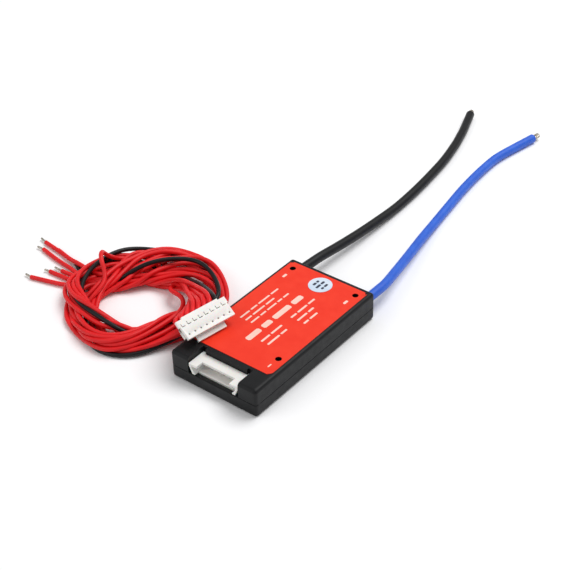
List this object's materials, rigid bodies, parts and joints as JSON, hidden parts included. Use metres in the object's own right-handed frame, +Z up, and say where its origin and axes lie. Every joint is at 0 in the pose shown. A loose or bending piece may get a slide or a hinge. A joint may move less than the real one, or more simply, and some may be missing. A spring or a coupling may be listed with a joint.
{
  "type": "battery management board",
  "caption": "Battery management board in a flat black two-shell case with a red label, a balance socket, its unplugged coiled balance harness and two main cables.",
  "frame": {"origin": "centre of the case's base, in the plane that the case rests on", "axes": "+Z up through the case's thickness; the balance socket faces -Y, the main cables leave towards +Y, and the harness lies on the -X side"},
  "size_m": [0.1346, 0.2219, 0.0197],
  "materials": {
    "case_plastic": "satin moulded black",
    "label_film": "satin printed film",
    "seal_film": "satin printed film",
    "circuit_board": "solder mask",
    "chip_body": "moulded epoxy",
    "resistor_body": "coated ceramic",
    "connector_plastic": "moulded nylon",
    "contact_metal": "tinned",
    "tinned_copper": "tinned strands",
    "black_silicone": "satin",
    "blue_silicone": "satin",
    "red_wire": "smooth",
    "black_wire": "smooth"
  },
  "bodies": {
    "root": {"balance_transistor_1": "chip_body", "balance_transistor_2": "chip_body", "balance_transistor_3": "chip_body", "balance_transistor_4": "chip_body", "balance_transistor_5": "chip_body", "balance_transistor_6": "chip_body", "balance_transistor_7": "chip_body", "black_cable": "black_silicone", "black_cable_conductor": "tinned_copper", "bleed_resistor_1": "resistor_body", "bleed_resistor_2": "resistor_body", "bleed_resistor_3": "resistor_body", "bleed_resistor_4": "resistor_body", "bleed_resistor_5": "resistor_body", "bleed_resistor_6": "resistor_body", "bleed_resistor_7": "resistor_body", "blue_cable": "blue_silicone", "blue_cable_conductor": "tinned_copper", "bottom_case": "case_plastic", "circuit_board": "circuit_board", "harness_bare_ends": "tinned_copper", "harness_coil": "red_wire", "harness_lead_1": "red_wire", "harness_lead_2": "red_wire", "harness_lead_3": "red_wire", "harness_lead_4": "red_wire", "harness_lead_5": "red_wire", "harness_lead_6": "red_wire", "harness_lead_7": "red_wire", "harness_lead_8": "black_wire", "harness_tail_1": "red_wire", "harness_tail_2": "red_wire", "harness_tail_3": "red_wire", "harness_tail_4": "red_wire", "harness_tail_5": "red_wire", "harness_tail_6": "red_wire", "harness_tail_7": "red_wire", "harness_tail_8": "black_wire", "label": "label_film", "mosfet_1": "chip_body", "mosfet_2": "chip_body", "mosfet_3": "chip_body", "mosfet_4": "chip_body", "mosfet_5": "chip_body", "mosfet_6": "chip_body", "plug_housing": "connector_plastic", "plug_terminals": "contact_metal", "protection_chip": "chip_body", "seal_sticker": "seal_film", "shunt_1": "resistor_body", "shunt_2": "resistor_body", "socket_housing": "connector_plastic", "socket_pins": "contact_metal", "top_case": "case_plastic"}
  },
  "joints": []
}
